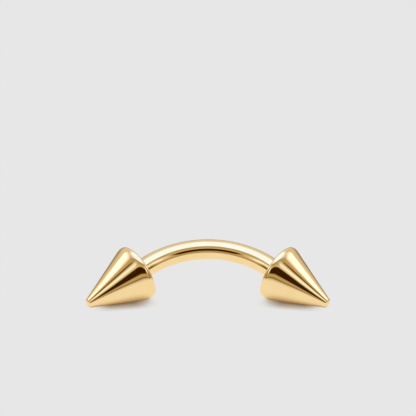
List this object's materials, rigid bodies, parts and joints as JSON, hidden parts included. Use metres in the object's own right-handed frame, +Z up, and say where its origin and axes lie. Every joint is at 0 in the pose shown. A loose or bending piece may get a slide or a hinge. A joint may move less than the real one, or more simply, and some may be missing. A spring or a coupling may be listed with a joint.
{
  "type": "eyebrow barbell",
  "caption": "Curved body-jewellery barbell for a brow piercing: a short bent round bar with a pointed cone screwed on at either end, in polished gold-coloured steel.",
  "frame": {"origin": "on the surface that the jewel lies on, under the middle of its overall box", "axes": "+Z up from that surface, +X from the left cone to the right one as seen in the picture, +Y away from the camera, the way the crown of the bend leans"},
  "size_m": [0.0122, 0.0034, 0.0028],
  "materials": {
    "bar_gold": "mirror-polished gold-coloured coating on steel wire",
    "cone_gold": "mirror-polished gold-coloured coating on turned steel"
  },
  "bodies": {
    "bar": {"curved_bar": "bar_gold"},
    "left_cone": {"left_cone": "cone_gold"},
    "right_cone": {"right_cone": "cone_gold"}
  },
  "joints": [
    {"name": "left_cone_off", "type": "slide", "parent": "bar", "child": "left_cone", "axis": [-0.7839, -0.4812, -0.3923], "range_m": [0, 0.003]},
    {"name": "right_cone_off", "type": "slide", "parent": "bar", "child": "right_cone", "axis": [0.7839, -0.4812, -0.3923], "range_m": [0, 0.003]}
  ]
}
